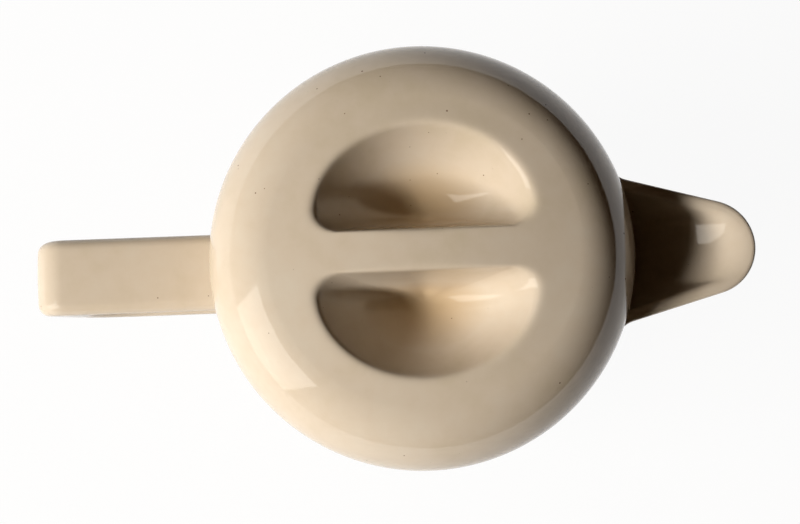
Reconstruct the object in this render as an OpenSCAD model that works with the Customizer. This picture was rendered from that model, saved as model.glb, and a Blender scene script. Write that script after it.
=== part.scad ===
// Chocolate pot: a cast body on a foot ring, with a pouring lip and a strap handle luted to its wall,
// and a lift-off domed lid whose two finger wells leave a grip bar between them.
// Millimetres, +Z up. The origin is on the pot's axis, in the plane that the foot stands on.
// The spout points along +X, the handle along -X, and the grip bar lies along X.

/* [Body] */
// Height of the rim above the table
body_h = 140; // [110:1:180]
// Outer radius of the body at the rim
rim_r = 57.2; // [50:0.1:66]
// Radius of the long curve that draws the wall in towards the foot
side_r = 1500; // [900:10:4000]
// Outer radius of the curve between wall and floor
corner_r = 18; // [12:0.5:26]
// Thickness of the wall
wall = 4.5; // [3.5:0.1:6]
// Thickness of the floor
floor_t = 5; // [4:0.1:8]
// Rounding of the rim's outer edge
rim_edge = 1; // [0.5:0.1:1.5]

/* [Foot ring] */
// Outer radius of the foot ring
foot_r = 41; // [36:0.5:46]
// Width of the face that the pot stands on
foot_w = 5; // [3:0.5:8]
// Height of the floor's underside above the table
foot_h = 4; // [2.5:0.5:8]

/* [Spout] */
// Reach of the lip beyond the rim
spout_out = 34.2; // [22:0.2:45]
// Width of the spout where it leaves the wall
spout_w = 42.4; // [34:0.2:50]
// Depth of the spout's root below the rim
spout_drop = 40; // [30:1:55]
// Width of the spout at its root
root_w = 14; // [10:0.5:20]
// Radius of the lip's tip, seen from above
spout_tip = 13; // [9:0.5:16]
// How strongly the underside is hollowed, where 1 is straight
spout_sweep = 2.1; // [1.2:0.1:2.6]
// Thickness of the lip, measured level
lip_t = 3.2; // [2.5:0.1:4.5]
// Height of the lip's upright edge
lip_h = 2.5; // [1.5:0.1:4]
// Thickness of the spout's floor at its root, measured upright
trough_t = 3; // [2:0.1:5]

/* [Handle] */
// Clear reach of the handle beyond the rim, to its outer face
handle_out = 52.4; // [42:0.2:62]
// Depth of the handle's upper face below the rim
handle_drop = 19; // [12:0.5:30]
// Width of the strap at its upper arm
strap_w = 21.6; // [16:0.2:26]
// Width of the strap at its lower arm, which it narrows to on the way down
low_strap_w = 14.4; // [12:0.2:22]
// Thickness of the strap
strap_t = 7; // [6.6:0.2:9]
// Rounding of the strap's edges
strap_edge = 3; // [1:0.1:3.2]
// Bend between the upper arm and the leg, at the middle of the strap
bend_r = 5; // [5:0.5:14]
// Bend between the leg and the lower arm, at the middle of the strap
low_bend_r = 22; // [14:0.5:26]
// Height of the lower arm above the table, at the middle of the strap
low_arm_z = 43; // [32:1:56]

/* [Lid] */
// Overhang of the lid past the rim
lid_overhang = 0.3; // [0:0.1:1]
// Height of the lid's upright edge
lid_skirt = 2; // [1.5:0.1:5]
// Rounding of the lid's lower edge
lid_edge = 1; // [0.5:0.1:1.5]
// Radius of the lid's shoulder
shoulder_r = 20; // [16:0.5:26]
// Slope of the dome where it meets the shoulder, in degrees
dome_slope = 9; // [5:0.5:12]
// Thickness of the lid's dome
lid_wall = 5; // [4:0.1:6]

/* [Finger wells] */
// Length of a well along the grip bar
well_l = 57.6; // [48:0.2:62]
// Width of a well from the grip bar to its far edge
well_w = 27.6; // [22:0.2:29]
// Width of the grip bar
bar_w = 10.8; // [8:0.2:16]
// Depth of a well below the top of the dome
well_depth = 20.4; // [14:0.2:20.4]
// Height of a well's own axis above the top of the dome
well_rise = 4; // [2:0.2:8]
// Thickness of the lid under a well
well_wall = 4.4; // [3.5:0.1:4.4]

/* [Collar] */
// Depth of the locating collar below the seat
collar_h = 13; // [8:0.5:18]
// Thickness of the collar
collar_t = 4; // [3:0.1:5]
// Clearance between the collar and the inside of the rim
collar_gap = 0.7; // [0.4:0.1:1.2]

/* [Hidden] */
$fn = 96;
curve_gap = 0.08;        // how far a flat of a turned outline may lie from its true curve
egg_bands = 14;          // bands of a finger well from end to end
loft_levels = 10;        // level slices of the spout
side_bands = 6;          // bands of one side of the spout, from the wall to its tip
tip_bands = 8;           // bands of one half of its tip
bend_bands = 12;         // bands of one bend of the strap
root_sink = 2;           // how far the spout's root runs into the wall
cut = 1;                 // how far a cutting solid passes what it cuts
glaze = "#e8d9c2";
bare_clay = "#d8b990";

lid_r = rim_r + lid_overhang;
collar_r = rim_r - wall - collar_gap;
lid_bore = collar_r - collar_t;

// Points of an arc about c, from angle a0 to a1, both ends included
function arc(c, r, a0, a1) =
    let (n = ceil(abs(a1 - a0) / (2 * acos(1 - curve_gap / r))))
    [for (i = [0:n]) let (a = a0 + (a1 - a0) * i / n) c + r * [cos(a), sin(a)]];

// Wall of the pot: a long side curve, upright at the rim, then a corner curve tangent to it and to the floor
side_c = [rim_r - side_r, body_h];
function corner_c(side, corner, floor_z) =
    [side_c.x + sqrt(pow(side - corner, 2) - pow(body_h - floor_z - corner, 2)), floor_z + corner];
function tangent_angle(c) = atan2(c.y - side_c.y, c.x - side_c.x);
function wall_line(side, corner, floor_z) =
    let (c = corner_c(side, corner, floor_z), a = tangent_angle(c))
    concat([[0, floor_z]], arc(c, corner, -90, a), arc(side_c, side, a, 0));
outer_line = wall_line(side_r, corner_r, foot_h);
inner_line = wall_line(side_r - wall, corner_r - wall, foot_h + floor_t);

// Everything inside the body's outer skin, which seats whatever is luted to the wall
module body_envelope(rise = 0) {
    rotate_extrude() polygon(concat(outer_line, [[rim_r, body_h + rise], [0, body_h + rise]]));
}

module pot_body() {
    color(glaze) difference() {
        rotate_extrude() difference() {
            polygon(concat(outer_line, [[0, body_h]]));
            polygon(concat(inner_line, [[rim_r - wall, body_h + cut], [0, body_h + cut]]));
            rim_relief();
        }
        spout_cavity();
    }
}

// What the rounding takes off the rim's outer edge
module rim_relief() {
    translate([rim_r - rim_edge, body_h - rim_edge]) difference() {
        square(rim_edge + cut);
        circle(rim_edge);
    }
}

module foot_ring() {
    color(bare_clay) difference() {
        rotate_extrude() translate([foot_r - foot_w, 0]) square([foot_w, foot_h + corner_r]);
        body_envelope();
    }
}

// Outlines with the same number of points, one after the other, joined into one solid
module loft(outlines) {
    n = len(outlines[0]);
    last = len(outlines) - 1;
    sides = [for (k = [0:last - 1], i = [0:n - 1]) let (j = (i + 1) % n)
        each [[k * n + i, (k + 1) * n + i, (k + 1) * n + j], [k * n + i, (k + 1) * n + j, k * n + j]]];
    ends = [[for (i = [0:n - 1]) i], [for (i = [n - 1:-1:0]) last * n + i]];
    polyhedron([for (outline = outlines) each outline], concat(sides, ends), convexity = 4);
}

// One level slice of the spout, where t runs from 0 at the rim to 1 at the root. Two straight sides leave
// the wall at spout_x and run in to a round tip, blunter further down. The back lies inside the pot.
spout_x = min(sqrt(pow(rim_r, 2) - pow(spout_w / 2, 2)) - root_sink, rim_r - wall - 2 * cut);
function spout_reach(t, out, sink) = (out + sink) * pow(1 - t, spout_sweep) - sink;
function spout_slice(t, out, w, w_root, tip, z, sink) =
    let (half = (w_root + (w - w_root) * (1 - t * t)) / 2)
    let (r = half * (t + (1 - t) * 2 * tip / w))
    let (c = rim_r + spout_reach(t, out, sink) - r)
    let (turn = atan2(c - spout_x, half) + asin(r / norm([c - spout_x, half])))
    let (start = [spout_x, half], meet = [c + r * cos(turn), r * sin(turn)])
    let (side = [for (i = [0:side_bands - 1]) start + (meet - start) * i / side_bands])
    let (back = spout_x - wall - cut)
    concat([[back, -half, z]], [for (p = side) [p.x, -p.y, z]],
        [for (i = [-tip_bands:tip_bands]) let (a = turn * i / tip_bands) [c + r * cos(a), r * sin(a), z]],
        [for (i = [side_bands - 1:-1:0]) [side[i].x, side[i].y, z]], [[back, half, z]]);

// The slices from root to rim: upright by the height of edge below top, then drawn in towards the root,
// which ends at root_z and runs as deep as sink into the wall
module spout_loft(out, w, w_root, tip, top, edge, root_z, sink) {
    drop = top - edge - root_z;
    loft(concat(
        [for (k = [loft_levels:-1:0]) let (t = k / loft_levels)
            spout_slice(t, out, w, w_root, tip, top - edge - drop * t, sink)],
        [spout_slice(0, out, w, w_root, tip, top, sink)]));
}

// The space that the liquid pours through: its root ends inside the pot, and it opens above the rim
module spout_cavity() {
    spout_loft(spout_out - lip_t, spout_w - 2 * lip_t, root_w - 2 * lip_t, spout_tip - lip_t,
        body_h + cut, cut, body_h - spout_drop + trough_t, wall + cut);
}

module spout() {
    color(glaze) difference() {
        spout_loft(spout_out, spout_w, root_w, spout_tip, body_h, lip_h, body_h - spout_drop, root_sink);
        spout_cavity();
        body_envelope(cut);
    }
}

// Middle line of the strap on the +X side, from the upper arm over both bends to the lower arm, in stations
// [x, z, direction of the outer face]. Both arms start as deep in the body as half its radius.
bend_c = [rim_r + handle_out - strap_t / 2 - bend_r, body_h - handle_drop - strap_t / 2 - bend_r];
low_bend_c = [bend_c.x + bend_r - low_bend_r, low_arm_z + low_bend_r];
arm_z = bend_c.y + bend_r;
function strap_bend(c, r, start) =
    [for (i = [0:bend_bands]) let (a = start - 90 * i / bend_bands) [c.x + r * cos(a), c.y + r * sin(a), a]];
strap_line = concat([[rim_r / 2, arm_z, 90]], strap_bend(bend_c, bend_r, 90),
    strap_bend(low_bend_c, low_bend_r, 0), [[rim_r / 2, low_arm_z, -90]]);

// Outline of a strap of width w, as [across, out], with its edges rounded
function strap_outline(w) =
    let (x = w / 2 - strap_edge, y = strap_t / 2 - strap_edge)
    concat(arc([x, y], strap_edge, 0, 90), arc([-x, y], strap_edge, 90, 180),
        arc([-x, -y], strap_edge, 180, 270), arc([x, -y], strap_edge, 270, 360));

// The outline at one station, narrower the lower it lies
function strap_ring(station) =
    let (x = station[0], z = station[1], a = station[2])
    let (w = low_strap_w + (strap_w - low_strap_w) * (z - low_arm_z) / (arm_z - low_arm_z))
    [for (p = strap_outline(w)) [x + p.y * cos(a), p.x, z + p.y * sin(a)]];

// The body's envelope trims the arms to the wall
module handle() {
    color(glaze) difference() {
        rotate([0, 0, 180]) loft([for (station = strap_line) strap_ring(station)]);
        body_envelope();
    }
}

// Lid outline above its seat: an upright edge, a round shoulder and a flat dome tangent to it
shoulder_c = [lid_r - shoulder_r, lid_skirt];
dome_a = 90 - dome_slope;
dome_join = shoulder_c + shoulder_r * [cos(dome_a), sin(dome_a)];
dome_r = dome_join.x / sin(dome_slope);
dome_c = [0, dome_join.y - dome_r * cos(dome_slope)];
dome_top = dome_c.y + dome_r;

module lid_solid() {
    rotate_extrude() polygon(concat(
        [[0, 0]],
        arc([lid_r - lid_edge, lid_edge], lid_edge, -90, 0),
        arc(shoulder_c, shoulder_r, 0, dome_a),
        arc(dome_c, dome_r, dome_a, 90)));
}

module lid_cavity() {
    inner_shoulder = shoulder_r - lid_wall;
    bore_a = acos(min(1, (lid_bore - shoulder_c.x) / inner_shoulder));
    rotate_extrude() polygon(concat(
        [[0, -cut], [lid_bore, -cut]],
        [[lid_bore, shoulder_c.y + inner_shoulder * sin(bore_a)]],
        arc(shoulder_c, inner_shoulder, bore_a, dome_a),
        arc(dome_c, dome_r - lid_wall, dome_a, 90)));
}

// A finger well is half an egg lying along the bar, cut upright by the bar's side
well_r = well_depth + well_rise;
well_mouth = sqrt(pow(well_r, 2) - pow(well_rise, 2));
well_y = bar_w / 2 + well_w - well_mouth;
well_half = well_l / 2 * well_r / well_mouth;

// side is 1 or -1 for the two wells, grow thickens the egg all round, and the bar's side cuts it at bar_y
module well_egg(side, grow, bar_y) {
    reach = well_y + well_r + grow;
    half = well_half + grow;
    mirror([0, (1 - side) / 2, 0]) intersection() {
        translate([0, well_y, dome_top + well_rise]) rotate([0, 90, 0]) rotate_extrude()
            polygon([for (i = [0:egg_bands]) let (a = 180 * i / egg_bands)
                [(well_r + grow) * sin(a), -half * cos(a)]]);
        translate([-half - cut, bar_y, 0])
            cube([2 * (half + cut), reach - bar_y + cut, dome_top + well_rise + well_r + grow]);
    }
}

module lid_cover() {
    color(glaze) translate([0, 0, body_h]) difference() {
        lid_solid();
        difference() {
            lid_cavity();
            for (side = [-1, 1]) well_egg(side, well_wall, -cut);
        }
        for (side = [-1, 1]) well_egg(side, 0, bar_w / 2);
    }
}

module lid_collar() {
    color(glaze) translate([0, 0, body_h - collar_h]) rotate_extrude()
        translate([lid_bore, 0]) square([collar_t, collar_h]);
}

pot_body();
foot_ring();
spout();
handle();
lid_cover();
lid_collar();
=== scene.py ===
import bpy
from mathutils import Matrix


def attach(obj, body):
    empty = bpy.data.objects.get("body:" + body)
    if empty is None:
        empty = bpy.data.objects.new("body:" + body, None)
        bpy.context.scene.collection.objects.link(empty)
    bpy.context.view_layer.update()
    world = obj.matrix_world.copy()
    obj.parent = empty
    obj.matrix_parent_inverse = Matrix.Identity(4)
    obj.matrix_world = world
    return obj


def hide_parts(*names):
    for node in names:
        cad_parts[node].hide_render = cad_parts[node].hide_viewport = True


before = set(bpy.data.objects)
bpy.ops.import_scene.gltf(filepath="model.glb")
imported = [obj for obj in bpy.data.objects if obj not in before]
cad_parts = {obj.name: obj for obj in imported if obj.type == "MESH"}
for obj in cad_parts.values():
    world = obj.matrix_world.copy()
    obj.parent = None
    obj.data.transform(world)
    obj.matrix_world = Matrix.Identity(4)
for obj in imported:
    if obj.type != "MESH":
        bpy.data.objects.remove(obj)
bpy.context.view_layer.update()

import math

import bmesh
import bpy
import numpy as np
from mathutils import Matrix, Vector

mm = 0.001  # all sizes below are in millimetres, Blender works in metres
print("frame loaded:", ", ".join(sorted(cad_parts)))


# small tools

def hexColour(code):
    # sRGB hex to the linear colour that the shader wants
    channels = [int(code[i:i + 2], 16) / 255 for i in (1, 3, 5)]
    return tuple(c / 12.92 if c <= 0.04045 else ((c + 0.055) / 1.055) ** 2.4 for c in channels) + (1.0,)


def addNode(tree, kind, settings=None, links=None):
    # settings go to properties or sockets, "stops" to a colour ramp, links bring in other nodes' outputs
    node = tree.nodes.new(kind)
    for key, value in (settings or {}).items():
        if key == "stops":
            ramp = node.color_ramp
            while len(ramp.elements) < len(value):
                ramp.elements.new(0.5)
            for element, (position, colour) in zip(ramp.elements, value):
                element.position, element.color = position, colour
        elif isinstance(key, str) and hasattr(node, key):
            setattr(node, key, value)
        else:
            node.inputs[key].default_value = value
    for key, source in (links or {}).items():
        tree.links.new(source, node.inputs[key])
    return node


def newMaterial(name):
    material = bpy.data.materials.new(name)
    material.use_nodes = True
    material.node_tree.nodes.clear()
    return material, material.node_tree


def gridFaces(rows, columns):
    # quads between rings of points, each ring closed on itself
    faces = []
    for i in range(rows - 1):
        for j in range(columns):
            k = (j + 1) % columns
            faces.append((i * columns + j, i * columns + k, (i + 1) * columns + k, (i + 1) * columns + j))
    return faces


def arcPoints(mid, radius, fromAngle, toAngle, steps):
    # angles in degrees, both ends included
    angles = np.radians(np.linspace(fromAngle, toAngle, steps + 1))
    return [(mid[0] + radius * math.cos(a), mid[1] + radius * math.sin(a)) for a in angles]


def softMin(a, b, width):
    # lower of two heights, with the crease between them rounded over the width
    return np.minimum(a, b) - np.maximum(width - np.abs(a - b), 0) ** 2 / (4 * width)


def tiePiece(name, mesh, finish, body, node):
    # puts a mesh in the scene, tied to its body and its CAD node, and reports whether it is closed
    check = bmesh.new()
    check.from_mesh(mesh)
    openEdges = sum(1 for edge in check.edges if len(edge.link_faces) != 2)
    volume = check.calc_volume(signed=True)
    check.free()
    mesh.materials.append(finish)
    piece = bpy.data.objects.new(name, mesh)
    bpy.context.scene.collection.objects.link(piece)
    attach(piece, body)
    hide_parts(node)
    print(f"{name}: {len(mesh.vertices)} points, {openEdges} open edges, {volume * 1e6:.1f} ml of clay")
    return piece


def addPiece(name, points, faces, finish, body, node, weld=0.004):
    # points in mm, welded into one closed mesh that faces outwards
    mesh = bpy.data.meshes.new(name)
    mesh.from_pydata([tuple(p) for p in np.asarray(points, float) * mm], [], faces)
    work = bmesh.new()
    work.from_mesh(mesh)
    bmesh.ops.remove_doubles(work, verts=work.verts, dist=weld * mm)
    bmesh.ops.recalc_face_normals(work, faces=work.faces)
    work.to_mesh(mesh)
    work.free()
    mesh.shade_smooth()
    return tiePiece(name, mesh, finish, body, node)


def turnedGrid(profile, columns):
    # a (radius, height) outline turned about the pot's axis
    angles = np.linspace(0, 2 * np.pi, columns, endpoint=False)
    points = [(r * math.cos(a), r * math.sin(a), z) for r, z in profile for a in angles]
    return points, gridFaces(len(profile), columns)


# materials

# Cream glazed earthenware: a buff body under a clear cream glaze, dipped and fired once more.
# The eye gets a wet gloss that wavers a little, soft clouds in the cream and a few iron specks.
glazeLook = {
    # the fourth colour, a browner tint for the floors of the wells, is painted shade
    "cream": "#d8c9b5", "pale": "#dbcfbd", "warm": "#d1c2aa", "paintedShade": "#c9b18f", "speck": "#6e4a30",
    "cloudMm": 26.0, "mottleMm": 5.0, "mottleShare": 0.35,
    "speckEveryMm": 2.4, "speckMm": 0.6, "bareCells": 0.78, "speckDark": 0.85,
    "smoothest": 0.03, "dullest": 0.06, "ior": 1.52,
    "waveMm": 15.0, "waveHeightMm": 0.10, "peelMm": 1.6, "peelHeightMm": 0.006,
}


def glazedEarthenware():
    look = glazeLook
    material, tree = newMaterial("glazedEarthenwareCream")
    place = addNode(tree, "ShaderNodeTexCoord").outputs["Object"]
    clouds = addNode(tree, "ShaderNodeTexNoise",
                     {"Scale": 1 / (look["cloudMm"] * mm), "Detail": 3.0, "Roughness": 0.5},
                     {"Vector": place})
    mottle = addNode(tree, "ShaderNodeTexNoise",
                     {"Scale": 1 / (look["mottleMm"] * mm), "Detail": 4.0, "Roughness": 0.6},
                     {"Vector": place})
    blend = addNode(tree, "ShaderNodeMix", {"data_type": "FLOAT", 0: look["mottleShare"]},
                    {2: clouds.outputs["Fac"], 3: mottle.outputs["Fac"]})
    cream = addNode(tree, "ShaderNodeValToRGB",
                    {"stops": [(0.30, hexColour(look["warm"])), (0.50, hexColour(look["cream"])),
                               (0.72, hexColour(look["pale"]))]},
                    {"Fac": blend.outputs[0]})
    # painted shade: the floors of the wells are tinted browner by depth, standing in for the shade that
    # falls in them
    paintedShadeShare = addNode(tree, "ShaderNodeAttribute", {"attribute_name": "glazePool"})
    glaze = addNode(tree, "ShaderNodeMix", {"data_type": "RGBA", 7: hexColour(look["paintedShade"])},
                    {0: paintedShadeShare.outputs["Fac"], 6: cream.outputs["Color"]})
    # about one cell in five holds a speck, each of its own size
    cells = addNode(tree, "ShaderNodeTexVoronoi", {"Scale": 1 / (look["speckEveryMm"] * mm)},
                    {"Vector": place})
    chance = addNode(tree, "ShaderNodeSeparateColor", None, {"Color": cells.outputs["Color"]})
    speckSize = addNode(tree, "ShaderNodeMapRange",
                        {"From Min": look["bareCells"], "From Max": 1.0, "To Min": 0.0,
                         "To Max": look["speckMm"] / 2 / look["speckEveryMm"]},
                        {"Value": chance.outputs["Red"]})
    speckEdge = addNode(tree, "ShaderNodeMath", {"operation": "SUBTRACT"},
                        {0: speckSize.outputs["Result"], 1: cells.outputs["Distance"]})
    speckMask = addNode(tree, "ShaderNodeMapRange",
                        {"From Min": 0.0, "From Max": 0.02, "To Max": look["speckDark"]},
                        {"Value": speckEdge.outputs["Value"]})
    colour = addNode(tree, "ShaderNodeMix", {"data_type": "RGBA", 7: hexColour(look["speck"])},
                     {0: speckMask.outputs["Result"], 6: glaze.outputs[2]})
    gloss = addNode(tree, "ShaderNodeMapRange",
                    {"From Min": 0.3, "From Max": 0.7,
                     "To Min": look["smoothest"], "To Max": look["dullest"]},
                    {"Value": mottle.outputs["Fac"]})
    # long waves where the dipped glaze ran, and a fine orange peel over them
    wave = addNode(tree, "ShaderNodeTexNoise", {"Scale": 1 / (look["waveMm"] * mm), "Detail": 1.0},
                   {"Vector": place})
    waveBump = addNode(tree, "ShaderNodeBump", {"Strength": 1.0, "Distance": look["waveHeightMm"] * mm},
                       {"Height": wave.outputs["Fac"]})
    peel = addNode(tree, "ShaderNodeTexNoise", {"Scale": 1 / (look["peelMm"] * mm), "Detail": 2.0},
                   {"Vector": place})
    peelBump = addNode(tree, "ShaderNodeBump", {"Strength": 1.0, "Distance": look["peelHeightMm"] * mm},
                       {"Height": peel.outputs["Fac"], "Normal": waveBump.outputs["Normal"]})
    shader = addNode(tree, "ShaderNodeBsdfPrincipled", {"IOR": look["ior"]},
                     {"Base Color": colour.outputs[2], "Roughness": gloss.outputs["Result"],
                      "Normal": peelBump.outputs["Normal"]})
    addNode(tree, "ShaderNodeOutputMaterial", None, {"Surface": shader.outputs["BSDF"]})
    return material


# Bare buff clay: the foot ring is wiped clean of glaze so that it doesn't stick to the kiln shelf.
# The eye gets a dry, matt, slightly gritty biscuit colour.
clayLook = {
    "clay": "#d2b084", "pale": "#dcbf97", "grit": "#a67c4f",
    "cloudMm": 9.0, "gritDark": 0.7, "roughness": 0.85, "ior": 1.5,
    "gritMm": 0.9, "gritHeightMm": 0.05,  # real grit is nearer 0.3 mm, drawn coarser so that it shows
}


def bareBuffClay():
    look = clayLook
    material, tree = newMaterial("bareBuffClay")
    place = addNode(tree, "ShaderNodeTexCoord").outputs["Object"]
    clouds = addNode(tree, "ShaderNodeTexNoise", {"Scale": 1 / (look["cloudMm"] * mm), "Detail": 5.0},
                     {"Vector": place})
    tone = addNode(tree, "ShaderNodeValToRGB",
                   {"stops": [(0.35, hexColour(look["clay"])), (0.65, hexColour(look["pale"]))]},
                   {"Fac": clouds.outputs["Fac"]})
    grit = addNode(tree, "ShaderNodeTexNoise", {"Scale": 1 / (look["gritMm"] * mm), "Detail": 3.0},
                   {"Vector": place})
    gritMask = addNode(tree, "ShaderNodeMapRange",
                       {"From Min": 0.6, "From Max": 0.72, "To Max": look["gritDark"]},
                       {"Value": grit.outputs["Fac"]})
    colour = addNode(tree, "ShaderNodeMix", {"data_type": "RGBA", 7: hexColour(look["grit"])},
                     {0: gritMask.outputs["Result"], 6: tone.outputs["Color"]})
    bump = addNode(tree, "ShaderNodeBump", {"Strength": 0.8, "Distance": look["gritHeightMm"] * mm},
                   {"Height": grit.outputs["Fac"]})
    shader = addNode(tree, "ShaderNodeBsdfPrincipled",
                     {"IOR": look["ior"], "Roughness": look["roughness"]},
                     {"Base Color": colour.outputs[2], "Normal": bump.outputs["Normal"]})
    addNode(tree, "ShaderNodeOutputMaterial", None, {"Surface": shader.outputs["BSDF"]})
    return material


creamGlaze = glazedEarthenware()
bareClay = bareBuffClay()
print("materials ready")


# pot body and spout, made as one skin so that the luted join is smooth, then parted round the spout

pot = {"height": 140.0, "rim": 57.2, "sideCurve": 1500.0, "corner": 18.0, "wall": 4.5, "floor": 5.0,
       "stand": 4.0,  # from the table to the underside of the floor
       "outerEdge": 1.1, "innerEdge": 2.0,  # height of the rim's two rounded edges
       "outerShare": 0.34, "innerShare": 0.60,  # how far over the rim's top each of them runs
       "fineColumns": 185, "coarseColumns": 128, "lowRows": 11, "highRows": 44,
       "cornerSteps": 12, "rimSteps": (0.2, 0.4, 0.6, 0.8, 1.0),
       "underRings": (0.0, 9.0, 18.0, 27.0), "floorRings": (24.0, 16.0, 8.0, 0.0)}
spout = {"out": 34.2, "width": 42.4, "start": 50.7, "tip": 13.0, "lipEdge": 2.5,  # outline at the top
         "drop": 40.0, "root": 14.0, "sweep": 2.1, "sink": 2.0, "fade": 40.0,  # how it draws in lower down
         "lip": 3.2, "floor": 3.0, "innerSink": 5.5,  # its inside
         "outerBlend": 3.0, "innerBlend": 3.0,  # width of the luted join
         "partAngle": 26.0, "partHeight": 102.0,  # where the skin is parted
         "searchFrom": 96.0, "searchTo": 50.0, "searchStep": 0.5, "halvings": 24, "spreadAngle": 40.0}


def sideRadius(z, inset):
    # the side is a very large arc, upright at the rim
    down = pot["height"] - z
    return pot["rim"] - pot["sideCurve"] + np.sqrt((pot["sideCurve"] - inset) ** 2 - down ** 2)


def cornerOutline(inset, floorHeight):
    # arc from the floor up to where it meets the side
    radius = pot["corner"] - inset
    sideMid = pot["rim"] - pot["sideCurve"]
    midZ = floorHeight + radius
    midR = sideMid + math.sqrt((pot["sideCurve"] - inset - radius) ** 2 - (pot["height"] - midZ) ** 2)
    top = math.degrees(math.atan2(midZ - pot["height"], midR - sideMid))
    return arcPoints((midR, midZ), radius, -90, top, pot["cornerSteps"])


def spoutDistance(x, y, z, inner):
    # level distance to the spout's outline at height z, below zero inside it
    # the outline has two straight sides and a round tip, and draws back into the wall further down
    depth = pot["height"] - z
    if inner:
        t = depth / (spout["drop"] - spout["floor"])
        thin, sink = spout["lip"], spout["innerSink"]
    else:
        t = (depth - spout["lipEdge"]) / (spout["drop"] - spout["lipEdge"])
        thin, sink = 0.0, spout["sink"]
    below = np.maximum(t - 1, 0)
    t = np.clip(t, 0, 1)
    width, root = spout["width"] - 2 * thin, spout["root"] - 2 * thin
    half = (root + (width - root) * (1 - t * t)) / 2
    curve = half * (t + (1 - t) * 2 * (spout["tip"] - thin) / width)
    reach = (spout["out"] - thin + sink) * (1 - t) ** spout["sweep"] - sink
    mid = pot["rim"] + reach - curve - spout["fade"] * below
    lean = mid - spout["start"]
    turn = np.maximum(np.arctan2(lean, half) + np.arcsin(np.minimum(curve / np.hypot(lean, half), 1)), 0)
    along, across = x - mid, np.abs(y)
    side = np.maximum(along * np.cos(turn) + across * np.sin(turn) - curve, across - half)
    return np.where(np.arctan2(across, along) < turn, np.hypot(along, across) - curve, side)


def skinRadius(angle, z, inner):
    # how far from the axis the skin lies along a level ray, with spout and wall melted together
    inset = pot["wall"] if inner else 0.0
    width = spout["innerBlend"] if inner else spout["outerBlend"]
    base = sideRadius(z, inset)
    cosA, sinA = np.cos(angle), np.sin(angle)
    best = base.copy()

    def level(r):
        return softMin(r - base, spoutDistance(r * cosA, r * sinA, z, inner), width)

    found = np.zeros(base.shape, bool)
    for outside in np.arange(spout["searchFrom"], spout["searchTo"], -spout["searchStep"]):
        here = ~found & (level(np.full(base.shape, outside)) < 0)
        best[here] = outside
        found |= here
    low, high = best.copy(), best + spout["searchStep"]
    for step in range(spout["halvings"]):
        middle = (low + high) / 2
        inside = level(middle) < 0
        low, high = np.where(inside, middle, low), np.where(inside, high, middle)
    return np.where(np.abs(angle) < math.radians(spout["spreadAngle"]), low, base)


def potSkin():
    # rows of points from under the floor up the outside, over the rim and down the inside
    part = spout["partAngle"]
    fine = np.linspace(-part, part, pot["fineColumns"])
    coarse = np.linspace(part, 360 - part, pot["coarseColumns"])[1:-1]
    angles = np.radians(np.concatenate([fine, coarse]))
    signed = (angles + np.pi) % (2 * np.pi) - np.pi
    columns = len(angles)
    outerCorner = cornerOutline(0.0, pot["stand"])
    innerCorner = cornerOutline(pot["wall"], pot["stand"] + pot["floor"])
    low = np.linspace(outerCorner[-1][1], spout["partHeight"], pot["lowRows"])[1:-1]
    lowInner = np.linspace(innerCorner[-1][1], spout["partHeight"], pot["lowRows"])[1:-1]
    high = np.linspace(spout["partHeight"], pot["height"] - pot["outerEdge"], pot["highRows"])
    highInner = np.linspace(spout["partHeight"], pot["height"] - pot["innerEdge"], pot["highRows"])
    rows = []

    def levelRow(radius, z):
        r = np.broadcast_to(radius, signed.shape)
        rows.append(np.stack([r * np.cos(angles), r * np.sin(angles), np.full(columns, z)], 1))

    for r in pot["underRings"]:
        levelRow(r, pot["stand"])
    for r, z in outerCorner:
        levelRow(r, z)
    for z in low:
        levelRow(sideRadius(z, 0.0), z)
    firstCut = len(rows)
    for z in high:
        levelRow(skinRadius(signed, np.full(columns, z), False), z)
    # rim: each edge is a short curve from the upright skin over to the top, rounder on the inside
    top = pot["height"]

    def outlineAt(z, inner):
        r = skinRadius(signed, np.full(columns, z), inner)
        return np.stack([r * np.cos(angles), r * np.sin(angles)], 1)

    sharp = [outlineAt(top, False), outlineAt(top, True)]
    edges = []
    for inner in (False, True):
        zStart = top - (pot["innerEdge"] if inner else pot["outerEdge"])
        start, corner = outlineAt(zStart, inner), sharp[inner]
        share = pot["innerShare"] if inner else pot["outerShare"]
        crest = corner + (sharp[not inner] - corner) * share
        curve = []
        for u in pot["rimSteps"]:
            flat = (1 - u) ** 2 * start + 2 * u * (1 - u) * corner + u * u * crest
            z = (1 - u) ** 2 * zStart + (1 - (1 - u) ** 2) * top
            curve.append(np.column_stack([flat, np.full(columns, z)]))
        edges.append(curve)
    rows.extend(edges[0])
    rows.extend(reversed(edges[1]))
    for z in highInner[::-1]:
        levelRow(skinRadius(signed, np.full(columns, z), True), z)
    lastCut = len(rows) - 1
    for z in lowInner[::-1]:
        levelRow(sideRadius(z, pot["wall"]), z)
    for r, z in reversed(innerCorner):
        levelRow(r, z)
    for r in pot["floorRings"]:
        levelRow(r, pot["stand"] + pot["floor"])
    return np.array(rows), firstCut, lastCut, len(fine)


def skinNormals(rows):
    # one smooth normal for each point of the whole skin, so that no seam shows where it is parted
    ahead = np.roll(rows, -1, 1)
    a, b, c, d = rows[:-1], ahead[:-1], ahead[1:], rows[1:]
    face = np.cross(c - a, d - b)
    total = np.zeros_like(rows)
    total[:-1] += face
    total[1:] += face
    total[:-1] += np.roll(face, 1, 1)
    total[1:] += np.roll(face, 1, 1)
    for end in (0, -1):
        total[end] = total[end].sum(0)
    return total / np.maximum(np.linalg.norm(total, axis=2), 1e-12)[:, :, None]


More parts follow.
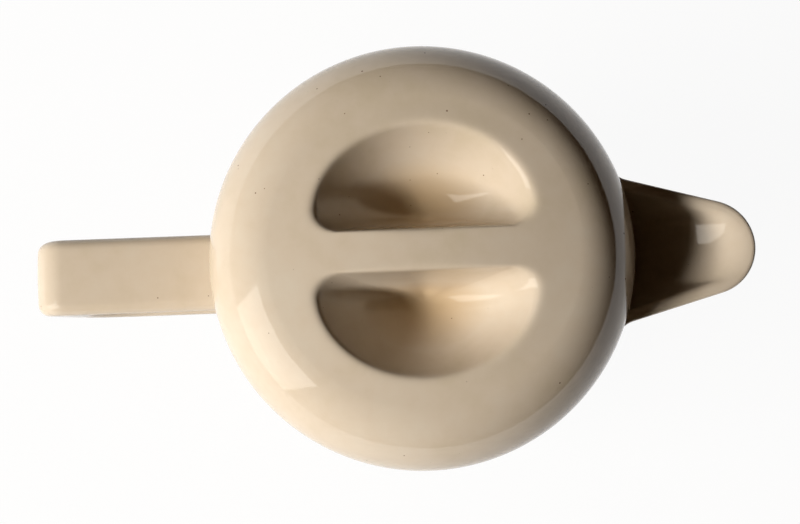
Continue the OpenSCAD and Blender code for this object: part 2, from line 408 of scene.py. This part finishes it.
def partSkin(rows, firstCut, lastCut, fineColumns):
    # the skin's faces go to the spout inside the cut and to the body outside it, and each cut is closed
    normals = skinNormals(rows)
    rowCount, columns = rows.shape[:2]
    for name, node in (("potBody", "pot_body"), ("pouringLip", "spout")):
        isSpout = node == "spout"
        faces = []
        for i in range(rowCount - 1):
            for j in range(columns):
                inCut = firstCut <= i < lastCut and j < fineColumns - 1
                if inCut == isSpout:
                    k = (j + 1) % columns
                    row, nextRow = i * columns, (i + 1) * columns
                    faces.append([row + j, row + k, nextRow + k, nextRow + j])
        skinFaces = len(faces)
        # cut faces: one up each side between outer and inner skin, and one along the bottom
        walls = []
        for j, turn in ((0, 1), (fineColumns - 1, -1)):
            for m in range((lastCut - firstCut) // 2):
                a, b = firstCut + m, firstCut + m + 1
                c, d = lastCut - m - 1, lastCut - m
                if b < c:
                    quad = [a * columns + j, b * columns + j, c * columns + j, d * columns + j]
                else:
                    quad = [a * columns + j, b * columns + j, d * columns + j]
                walls.append(quad[::-1] if turn > 0 else quad)
        for j in range(fineColumns - 1):
            walls.append([firstCut * columns + j, lastCut * columns + j,
                          lastCut * columns + j + 1, firstCut * columns + j + 1][::-1])
        faces += [wall[::-1] if isSpout else wall for wall in walls]
        used = sorted({v for face in faces for v in face})
        # the rings at the two poles shrink to one point each
        lookup = {v: n for n, v in enumerate(used)}
        for v in used:
            if v < columns:
                lookup[v] = lookup[used[0]]
            elif v >= (rowCount - 1) * columns:
                lookup[v] = lookup[(rowCount - 1) * columns]
        points = rows.reshape(-1, 3)
        pointNormals = normals.reshape(-1, 3)
        kept = sorted(set(lookup.values()))
        order = {old: new for new, old in enumerate(kept)}
        cleanFaces, sources = [], []
        for n, face in enumerate(faces):
            ring = []
            for v in face:
                w = order[lookup[v]]
                if w not in [r[0] for r in ring]:
                    ring.append((w, v))
            if len(ring) > 2:
                cleanFaces.append([r[0] for r in ring])
                sources.append((n < skinFaces, [r[1] for r in ring]))
        yield name, node, [points[used[old]] for old in kept], cleanFaces, sources, pointNormals


def addSkinPieces():
    for name, node, points, faces, sources, pointNormals in partSkin(*potSkin()):
        mesh = bpy.data.meshes.new(name)
        mesh.from_pydata([tuple(p) for p in np.asarray(points) * mm], [], faces)
        mesh.shade_smooth()
        cornerNormals = []
        for polygon, (onSkin, ring) in zip(mesh.polygons, sources):
            for v in ring:
                cornerNormals.append(tuple(pointNormals[v]) if onSkin else tuple(polygon.normal))
        mesh.normals_split_custom_set(cornerNormals)
        tiePiece(name, mesh, creamGlaze, "pot", node)


addSkinPieces()


# foot ring, wiped bare, its edges softened by the sponge

foot = {"outer": 41.0, "inner": 36.0, "edge": 1.4, "edgeSteps": 6, "fillet": 1.2, "columns": 160,
        "filletAngles": (0, 18, 36, 54, 72, 90),
        # its top is hidden in the body: outwards and upwards from where its two walls meet the body
        "innerRoot": (2.2, 1.6), "innerCover": (-1.2, 0.15),
        "outerCover": (0.72, 0.5), "outerRoot": (-1.5, 2.0)}


def footOutline():
    underR, underZ = np.array(cornerOutline(0.0, pot["stand"])).T

    def under(r):
        # height of the body's underside
        return float(np.interp(r, underR, underZ)) if r > underR[0] else pot["stand"]

    def hidden(r, z, spot):
        return r + foot[spot][0], z + foot[spot][1]

    outer, inner, edge, fillet = foot["outer"], foot["inner"], foot["edge"], foot["fillet"]
    innerTop, outerTop = under(inner), under(outer + fillet)
    angles = np.radians(foot["filletAngles"])
    outline = [hidden(inner, innerTop, "innerRoot"), hidden(inner, innerTop, "innerCover")]
    outline += [(inner - fillet * (1 - math.sin(a)), innerTop - fillet * (1 - math.cos(a)))
                for a in angles[1:]]
    outline += arcPoints((inner + edge, edge), edge, 180, 270, foot["edgeSteps"])
    outline += arcPoints((outer - edge, edge), edge, 270, 360, foot["edgeSteps"])
    outline += [(outer + fillet * (1 - math.cos(a)), outerTop - fillet * (1 - math.sin(a)))
                for a in angles]
    outline += [hidden(outer, outerTop, "outerCover"), hidden(outer, under(outer), "outerRoot")]
    return outline + [outline[0]]


points, faces = turnedGrid(footOutline(), foot["columns"])
addPiece("footRing", points, faces, bareClay, "pot", "foot_ring")


# strap handle, pulled flat and narrower as it goes down, bent twice and luted on with a soft fillet

strap = {"reach": 52.4, "drop": 19.0, "width": 21.6, "lowWidth": 14.4, "thick": 7.0, "edge": 3.2,
         "crown": 0.35, "bend": 5.0, "lowBend": 22.0, "lowArm": 43.0,
         "fillet": 2.5, "sunk": 1.6, "tuck": 0.06,  # how its ends flare and go into the wall
         "plainFrom": 9.0, "lowPlainFrom": 8.0,  # past the rim, where the flare is over
         "cornerPoints": 9, "widePoints": 10, "thinPoints": 3, "flareRings": 12,
         "armRings": 6, "bendRings": 15, "legRings": 7, "lowBendRings": 17, "lowArmRings": 5}
armHeight = pot["height"] - strap["drop"] - strap["thick"] / 2


def strapSection(height, grow=0.0):
    # rounded oblong, v across the width and w through the thickness, w > 0 on the outer face
    width = np.interp(height, [strap["lowArm"], armHeight], [strap["lowWidth"], strap["width"]])
    halfW, halfT, edge = width / 2, strap["thick"] / 2, strap["edge"]
    ring, outward = [], []
    corners = [(1, 1), (-1, 1), (-1, -1), (1, -1)]
    for n, (cornerV, cornerW) in enumerate(corners):
        start = 90 * n
        for a in np.radians(np.linspace(start, start + 90, strap["cornerPoints"])):
            ring.append((cornerV * (halfW - edge) + edge * math.cos(a),
                         cornerW * (halfT - edge) + edge * math.sin(a)))
            outward.append((math.cos(a), math.sin(a)))
        # flats between the corners carry points too, so that the faces can be crowned
        nextV, nextW = corners[(n + 1) % 4]
        a = math.radians(start + 90)
        begin = np.array(ring[-1])
        finish = np.array([nextV * (halfW - edge), nextW * (halfT - edge)]) \
            + edge * np.array([math.cos(a), math.sin(a)])
        count = strap["widePoints"] if nextW == cornerW else strap["thinPoints"]
        for u in np.linspace(0, 1, count + 1)[1:-1]:
            ring.append(tuple(begin * (1 - u) + finish * u))
            outward.append((math.cos(a), math.sin(a)))
    ring, outward = np.array(ring), np.array(outward)
    face = np.sign(ring[:, 1])
    crown = strap["crown"] * (1 - (ring[:, 0] / halfW) ** 2) * face
    ring[:, 1] += np.where(np.abs(ring[:, 1]) > halfT - edge, crown, 0) - face * strap["crown"] * 0.5
    return ring + outward * grow


def strapHandle():
    legX = pot["rim"] + strap["reach"] - strap["thick"] / 2
    bendMid = (legX - strap["bend"], armHeight - strap["bend"])
    lowMid = (legX - strap["lowBend"], strap["lowArm"] + strap["lowBend"])
    rings = []

    def armEnd(height, outwardUp, leaving):
        # rings from the flare on the wall to the plain arm, the arm running along x at this height
        rows = []
        steps = [(-strap["sunk"], strap["fillet"] - strap["sunk"])] + [
            (strap["fillet"] * (1 - math.sin(b)), strap["fillet"] * (1 - math.cos(b)))
            for b in np.radians(np.linspace(90, 0, strap["flareRings"]))]
        for away, grow in steps:
            section = strapSection(height, grow)
            y, z = section[:, 0], height + section[:, 1] * outwardUp
            wallX = np.sqrt(sideRadius(z, 0.0) ** 2 - y ** 2)
            tuck = strap["tuck"] if away < 0.01 else 0.0
            rows.append(np.column_stack([-(wallX + away - tuck), y, z]))
        return rows if leaving else rows[::-1]

    def place(x, z, outX, outZ):
        # one ring round the strap's middle line, its outer face turned to (outX, outZ)
        v, w = strapSection(z).T
        rings.append(np.column_stack([-(x + w * outX), v, z + w * outZ]))

    def placeBend(mid, radius, fromAngle, toAngle, count):
        for a in np.radians(np.linspace(fromAngle, toAngle, count))[1:]:
            outX, outZ = math.cos(a), math.sin(a)
            place(mid[0] + radius * outX, mid[1] + radius * outZ, outX, outZ)

    rings.extend(armEnd(armHeight, 1, True))
    for x in np.linspace(pot["rim"] + strap["plainFrom"], bendMid[0], strap["armRings"]):
        place(x, armHeight, 0, 1)
    placeBend(bendMid, strap["bend"], 90, 0, strap["bendRings"])
    for z in np.linspace(bendMid[1], lowMid[1], strap["legRings"])[1:]:
        place(legX, z, 1, 0)
    placeBend(lowMid, strap["lowBend"], 0, -90, strap["lowBendRings"])
    for x in np.linspace(lowMid[0], pot["rim"] + strap["lowPlainFrom"], strap["lowArmRings"])[1:]:
        place(x, strap["lowArm"], 0, -1)
    rings.extend(armEnd(strap["lowArm"], -1, False))
    columns = len(rings[0])
    points = np.concatenate(rings)
    faces = gridFaces(len(rings), columns)
    last = (len(rings) - 1) * columns
    faces.append(tuple(range(columns)))
    faces.append(tuple(last + j for j in range(columns - 1, -1, -1)))
    return points, faces


points, faces = strapHandle()
addPiece("strapHandle", points, faces, creamGlaze, "pot", "handle")


# lid: a shallow dome pressed with two finger wells, the bar between them is the grip

lid = {"seat": 140.0, "radius": 57.5, "skirt": 2.0, "edge": 1.2, "shoulder": 20.0, "wall": 5.0,
       "slope": 9.0,  # degrees, where the dome meets its shoulder
       "bore": 48.0, "boreEdge": ((0.6, 0.0), (0.15, 0.2), (0.0, 0.7)), "seatRings": (54.0, 51.0),
       # wells: an oval cut along the bar, its floor rounder than its mouth
       "halfLength": 28.9, "halfWidth": 24.07, "ellipseY": 8.93, "deepestY": 12.3, "barHalf": 5.4,
       "depth": 20.4, "bowl": 2.05, "barBowl": 3.2, "corner": 6.5, "floorCorner": 14.0,
       "soften": 1.2, "softReach": 5.0, "softFade": 3.5, "searchTo": 45.0, "halvings": 40,
       # points and rows along a line from a well's floor to its lip and on over the dome
       "wellPoints": 600, "domePoints": 300, "lineStep": 0.1,
       "floorRows": 19, "lipRows": 25, "domeRows": 13, "lipFrom": 0.4, "lipTo": 0.85,
       # cups under the wells
       "cupWall": 4.4, "cupGap": 1.5, "cupBowl": 1.05, "cupBlend": 4.0,
       "patchRadius": 41.5, "halfColumns": 96, "barColumns": 73,
       "shoulderSteps": 18, "edgeSteps": 6, "boreRows": 6, "underRows": 49}
shoulderMid = lid["radius"] - lid["shoulder"]
slope = math.radians(lid["slope"])
domeCurve = (shoulderMid + lid["shoulder"] * math.sin(slope)) / math.sin(slope)
domeMid = lid["skirt"] + lid["shoulder"] * math.cos(slope) - domeCurve * math.cos(slope)
domeTop = domeMid + domeCurve


def domeHeight(r, inset=0.0):
    # height of the dome or of its shoulder above the seat
    r = np.asarray(r, float)
    bend = lid["shoulder"] - inset
    join = shoulderMid + bend * math.sin(slope)
    dome = domeMid + np.sqrt(np.maximum((domeCurve - inset) ** 2 - r ** 2, 0))
    shoulder = lid["skirt"] + np.sqrt(np.maximum(bend ** 2 - (r - shoulderMid) ** 2, 0))
    return np.where(r < join, dome, shoulder)


def wellReach(angle, corner):
    # from the deepest point to the edge of an oval cut straight along the bar, its corners this round
    a, b = lid["halfLength"], lid["halfWidth"]
    near, far = 0.0, lid["searchTo"]
    for step in range(lid["halvings"]):
        s = (near + far) / 2
        x, y = s * math.cos(angle), lid["deepestY"] + s * math.sin(angle)
        q = math.hypot(x / a, (y - lid["ellipseY"]) / b)
        pastOval = (q - 1) * q / max(math.hypot(x / a ** 2, (y - lid["ellipseY"]) / b ** 2), 1e-6)
        pastBar = lid["barHalf"] - y
        if min(pastOval, pastBar) > -corner:
            past = math.hypot(pastOval + corner, pastBar + corner) - corner
        else:
            past = max(pastOval, pastBar)
        near, far = (s, far) if past < 0 else (near, s)
    return near


def wellRay(edgePoint):
    # one line of the lid's top, from the deepest point of a well out over its lip to the edge point
    dx, dy = edgePoint[0], edgePoint[1] - lid["deepestY"]
    length = math.hypot(dx, dy)
    angle = math.atan2(dy, dx)
    reach, inner = wellReach(angle, lid["corner"]), wellReach(angle, lid["floorCorner"])
    floor = domeTop - lid["depth"]
    s = np.concatenate([np.linspace(0, reach, lid["wellPoints"]),
                        np.linspace(reach, length, lid["domePoints"])[1:]])
    x, y = s * dx / length, lid["deepestY"] + s * dy / length
    top = domeHeight(np.hypot(x, y))
    mouth = float(np.interp(reach, s, top))
    toBar = max(-math.sin(angle), 0.0)
    power = lid["bowl"] + (lid["barBowl"] - lid["bowl"]) * toBar ** 2
    share = s / (inner + (reach - inner) * np.minimum(s / reach, 1) ** 2)
    z = np.where(s <= reach, floor + (mouth - floor) * np.minimum(share, 1) ** power, top)
    # soften the lip of the well: average along the line, most at the lip and nothing away from it
    run = np.concatenate([[0], np.cumsum(np.hypot(np.diff(s), np.diff(z)))])
    step = lid["lineStep"]
    even = np.arange(0, run[-1] + step / 2, step) * run[-1] / (round(run[-1] / step) * step)
    sEven, zEven = np.interp(even, run, s), np.interp(even, run, z)
    pad = round(5 * lid["soften"] / step)
    sLong = np.concatenate([-sEven[pad:0:-1], sEven, 2 * sEven[-1] - sEven[-2:-pad - 2:-1]])
    zLong = np.concatenate([zEven[pad:0:-1], zEven, zEven[-2:-pad - 2:-1]])
    kernel = np.exp(-0.5 * (np.arange(-pad, pad + 1) * step / lid["soften"]) ** 2)
    kernel /= kernel.sum()
    sSoft, zSoft = np.convolve(sLong, kernel, "valid"), np.convolve(zLong, kernel, "valid")
    lipRun = float(np.interp(reach, s, run))
    away = np.clip((np.abs(even - lipRun) - lid["softReach"]) / lid["softFade"], 0, 1)
    keep = 1 - away * away * (3 - 2 * away)
    sOut, zOut = sEven + (sSoft - sEven) * keep, zEven + (zSoft - zEven) * keep
    # rows lie closest at the lip
    before = max(lipRun - lid["softReach"], lipRun * lid["lipFrom"])
    after = min(lipRun + lid["softReach"], lipRun + lid["lipTo"] * (run[-1] - lipRun))
    stops = np.concatenate([np.linspace(0, before, lid["floorRows"])[:-1],
                            np.linspace(before, after, lid["lipRows"])[:-1],
                            np.linspace(after, run[-1], lid["domeRows"])])
    sRow, zRow = np.interp(stops, even, sOut), np.interp(stops, even, zOut)
    sRow[-1], zRow[-1] = length, top[-1]
    return np.column_stack([sRow * dx / length, lid["deepestY"] + sRow * dy / length, zRow])


def lidCover():
    half, patch = lid["halfColumns"], lid["patchRadius"]
    # each well's patch is bounded by half a circle and the middle line of the bar
    edge = [(patch * math.cos(a), patch * math.sin(a)) for a in np.linspace(0, np.pi, half + 1)]
    edge += [(x, 0.0) for x in patch * -np.cos(np.linspace(0, np.pi, lid["barColumns"]))[1:-1]]
    rays = np.array([wellRay(p) for p in edge])
    columns, rows = rays.shape[:2]
    grid = rays.transpose(1, 0, 2)
    points, faces = [], []
    for side in (1, -1):
        start = len(points)
        points += [(x, y * side, z) for row in grid for x, y, z in row]
        faces += [tuple(start + v for v in face) for face in gridFaces(rows, columns)]
    # shoulder, upright edge, seat and bore
    first = math.degrees(math.acos((patch - shoulderMid) / lid["shoulder"]))
    low = lid["edge"]
    outline = arcPoints((shoulderMid, lid["skirt"]), lid["shoulder"], first, 0, lid["shoulderSteps"])
    outline += arcPoints((lid["radius"] - low, low), low, 0, -90, lid["edgeSteps"])
    outline += [(r, 0.0) for r in lid["seatRings"]]
    outline += [(lid["bore"] + out, z) for out, z in lid["boreEdge"]]
    boreTop = float(domeHeight(lid["bore"], lid["wall"]))
    outline += [(lid["bore"], z) for z in np.linspace(outline[-1][1], boreTop, lid["boreRows"])[1:]]
    turned, turnedFaces = turnedGrid(outline, 2 * half)
    start = len(points)
    points += turned
    faces += [tuple(start + v for v in face) for face in turnedFaces]
    # underside: the hollow dome with the two cups hanging in it
    angles = np.linspace(0, 2 * np.pi, 2 * half, endpoint=False)
    start = len(points)
    radii = np.linspace(lid["bore"], 0, lid["underRows"])
    cupFloor = domeTop - lid["depth"] - lid["cupWall"]
    cupTop = domeTop - lid["wall"] - lid["cupGap"]
    for r in radii:
        x, y = r * np.cos(angles), r * np.sin(angles)
        spread = (x / (lid["halfLength"] + lid["cupWall"])) ** 2 \
            + (np.maximum(np.abs(y) - lid["ellipseY"], 0) / (lid["halfWidth"] + lid["cupWall"])) ** 2
        hollow = domeHeight(np.full(angles.shape, r), lid["wall"])
        cups = cupFloor + (cupTop - cupFloor) * spread ** lid["cupBowl"]
        height = softMin(hollow, cups, lid["cupBlend"])
        if r == radii[0]:
            height = np.full(angles.shape, boreTop)
        points += list(zip(x, y, height))
    faces += [tuple(start + v for v in face) for face in gridFaces(len(radii), len(angles))]
    points = np.array(points)
    points[:, 2] += lid["seat"]
    return points, faces


points, faces = lidCover()
cover = addPiece("lidCover", points, faces, creamGlaze, "lid", "lid_cover", weld=0.01)

# share of painted shade at each point, a browner tint standing in for the shade in the wells: none on the
# dome, all of it on the floor of a well, by depth below the dome's top and distance from the axis
paintedShade = {"startsAt": 13.0, "fullAt": 20.0, "within": 38.0}
paintedShadeShare = cover.data.attributes.new("glazePool", "FLOAT", "POINT")
for vertex in cover.data.vertices:
    x, y, z = vertex.co / mm
    below = (lid["seat"] + domeTop - z - paintedShade["startsAt"]) / (paintedShade["fullAt"] - paintedShade["startsAt"])
    facesUp = vertex.normal.z > 0 and math.hypot(x, y) < paintedShade["within"]
    paintedShadeShare.data[vertex.index].value = min(max(below, 0.0), 1.0) if facesUp else 0.0


# collar that keeps the lid in the mouth

collar = {"outer": 52.0, "inner": 48.15, "deep": 13.0, "edge": 1.6, "edgeSteps": 7,
          "intoLid": 0.5, "columns": 192}


def collarOutline():
    low, top, edge = lid["seat"] - collar["deep"], lid["seat"] + collar["intoLid"], collar["edge"]
    outline = [(collar["inner"], top)]
    outline += arcPoints((collar["inner"] + edge, low + edge), edge, 180, 270, collar["edgeSteps"])
    outline += arcPoints((collar["outer"] - edge, low + edge), edge, 270, 360, collar["edgeSteps"])
    outline += [(collar["outer"], top)]
    return outline + [outline[0]]


points, faces = turnedGrid(collarOutline(), collar["columns"])
addPiece("lidCollar", points, faces, creamGlaze, "lid", "lid_collar")


# studio: a pale floor, a wide low window from the handle's side that lights the clay,
# a taller one that only the gloss shows, and a weak warm fill

studio = {"floor": "#f4f1ec", "floorGlow": 0.94, "floorColumns": 96,
          # radius and height in metres: flat, then a low cove far away that keeps the horizon pale
          "floorRings": [(0.4, 0.0), (2.0, 0.0), (5.0, 0.0), (8.0, 0.0),
                         (9.5, 0.12), (10.5, 0.4), (11.0, 0.7)],
          "aimAt": (0.0, 0.0, 0.14),
          # angles in degrees, sizes in metres, power in watts
          "lamps": {
              "lowWindow": {"azimuth": 200.0, "height": 35.0, "away": 1.5, "wide": 1.0, "tall": 0.16,
                            "power": 30.8, "glint": False},
              "tallWindow": {"azimuth": 205.0, "height": 26.0, "away": 1.3, "wide": 0.76, "tall": 1.1,
                             "power": 7.3, "glint": True}},
          "lampColour": "#fffaf2", "fill": "#d8a878", "fillStrength": 0.025}


def addStudio():
    columns = studio["floorColumns"]
    points, faces = turnedGrid(studio["floorRings"], columns)
    mesh = bpy.data.meshes.new("paleFloor")
    mesh.from_pydata(points, [], faces + [tuple(range(columns - 1, -1, -1))])
    mesh.flip_normals()  # the turned rings face down
    floor = bpy.data.objects.new("paleFloor", mesh)
    bpy.context.scene.collection.objects.link(floor)
    # matt paper, white to the eye and to the gloss, that still takes a faint shadow
    material, tree = newMaterial("mattPaperFloor")
    path = addNode(tree, "ShaderNodeLightPath")
    seen = addNode(tree, "ShaderNodeMath", {"operation": "ADD"},
                   {0: path.outputs["Is Camera Ray"], 1: path.outputs["Is Glossy Ray"]})
    seen = addNode(tree, "ShaderNodeMath", {"operation": "ADD", "use_clamp": True},
                   {0: seen.outputs["Value"], 1: path.outputs["Is Transmission Ray"]})
    share = addNode(tree, "ShaderNodeMath", {"operation": "MULTIPLY", 1: studio["floorGlow"]},
                    {0: seen.outputs["Value"]})
    paper = addNode(tree, "ShaderNodeBsdfDiffuse", {"Color": hexColour(studio["floor"])})
    white = addNode(tree, "ShaderNodeEmission", {"Strength": 1.0})
    mix = addNode(tree, "ShaderNodeMixShader", None,
                  {0: share.outputs["Value"], 1: paper.outputs["BSDF"], 2: white.outputs["Emission"]})
    addNode(tree, "ShaderNodeOutputMaterial", None, {"Surface": mix.outputs["Shader"]})
    mesh.materials.append(material)

    aim = Vector(studio["aimAt"])
    for name, kind in studio["lamps"].items():
        lamp = bpy.data.lights.new(name, "AREA")
        lamp.shape = "RECTANGLE"
        lamp.size, lamp.size_y, lamp.energy = kind["wide"], kind["tall"], kind["power"]
        lamp.color = hexColour(studio["lampColour"])[:3]
        holder = bpy.data.objects.new(name, lamp)
        bpy.context.scene.collection.objects.link(holder)
        azimuth, height = math.radians(kind["azimuth"]), math.radians(kind["height"])
        level = math.cos(height)
        towards = Vector((math.cos(azimuth) * level, math.sin(azimuth) * level, math.sin(height)))
        holder.location = aim + towards * kind["away"]
        holder.rotation_euler = towards.to_track_quat("Z", "Y").to_euler()
        # one lamp lights the clay and the other is only seen in its gloss
        holder.visible_glossy, holder.visible_diffuse = kind["glint"], not kind["glint"]

    world = bpy.data.worlds.new("softRoom")
    bpy.context.scene.world = world
    world.use_nodes = True
    world.node_tree.nodes.clear()
    room = addNode(world.node_tree, "ShaderNodeBackground",
                   {"Color": hexColour(studio["fill"]), "Strength": studio["fillStrength"]})
    addNode(world.node_tree, "ShaderNodeOutputWorld", None, {"Surface": room.outputs["Background"]})
    print("studio ready")


addStudio()


# camera above the pot, a little towards the handle and the lower edge of the picture

view = {"from": (-15.41, -39.09, 560.0), "at": (-6.05, -1.0, 140.0), "roll": -0.039,
        "lens": 69.86, "sensor": 36.0, "clip": (0.01, 50.0)}


def addCamera():
    camera = bpy.data.cameras.new("viewFromAbove")
    camera.lens, camera.sensor_width, camera.sensor_fit = view["lens"], view["sensor"], "HORIZONTAL"
    camera.clip_start, camera.clip_end = view["clip"]
    eye, at = Vector(view["from"]) * mm, Vector(view["at"]) * mm
    forward = (at - eye).normalized()
    right = forward.cross(Vector((0, 1, 0))).normalized()
    up = right.cross(forward)
    c, s = math.cos(view["roll"]), math.sin(view["roll"])
    turnedRight, turnedUp = right * c + up * s, up * c - right * s
    holder = bpy.data.objects.new("viewFromAbove", camera)
    bpy.context.scene.collection.objects.link(holder)
    holder.matrix_world = Matrix((
        (turnedRight.x, turnedUp.x, -forward.x, eye.x),
        (turnedRight.y, turnedUp.y, -forward.y, eye.y),
        (turnedRight.z, turnedUp.z, -forward.z, eye.z),
        (0, 0, 0, 1)))
    bpy.context.scene.camera = holder
    print("camera ready")


addCamera()
bpy.context.scene.view_settings.view_transform = "Standard"

bpy.context.view_layer.update()
